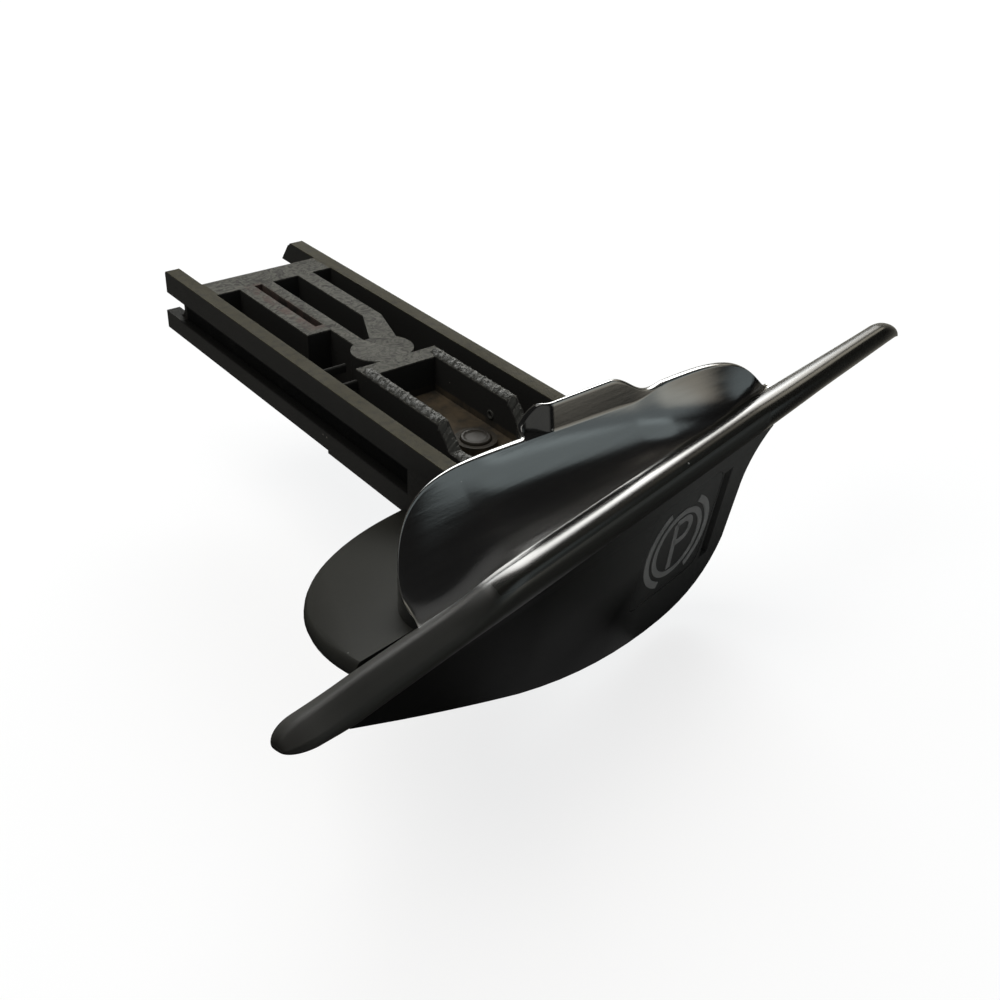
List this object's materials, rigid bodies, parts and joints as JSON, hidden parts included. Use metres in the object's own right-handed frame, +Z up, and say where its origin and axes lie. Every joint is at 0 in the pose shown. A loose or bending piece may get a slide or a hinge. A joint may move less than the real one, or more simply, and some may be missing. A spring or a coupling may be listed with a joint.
{
  "type": "parking brake release handle",
  "caption": "Black moulded pull handle on a ribbed slide stem, with a dished grip, a long trim bar and a face panel carrying the parking brake sign; it releases a foot parking brake.",
  "frame": {"origin": "middle of the stem's rear edge, level with the top of its rails", "axes": "+X across the stem to the user's right, +Y back along the stem into the dashboard, +Z up"},
  "size_m": [0.1217, 0.1056, 0.0393],
  "materials": {
    "stem_plastic": "fine moulded grain",
    "hull_plastic": "fine moulded grain",
    "shroud_plastic": "gloss",
    "bar_plastic": "gloss",
    "face_plastic": "satin grain",
    "sign_plastic": "satin grain with a grey print",
    "screw_steel": "dark zinc plating"
  },
  "bodies": {
    "root": {"pull_stem": "stem_plastic", "rear_hull": "hull_plastic", "upper_shroud": "shroud_plastic", "trim_bar": "bar_plastic", "face_panel": "face_plastic", "sign_plate": "sign_plastic", "stem_screw": "screw_steel"}
  },
  "joints": []
}
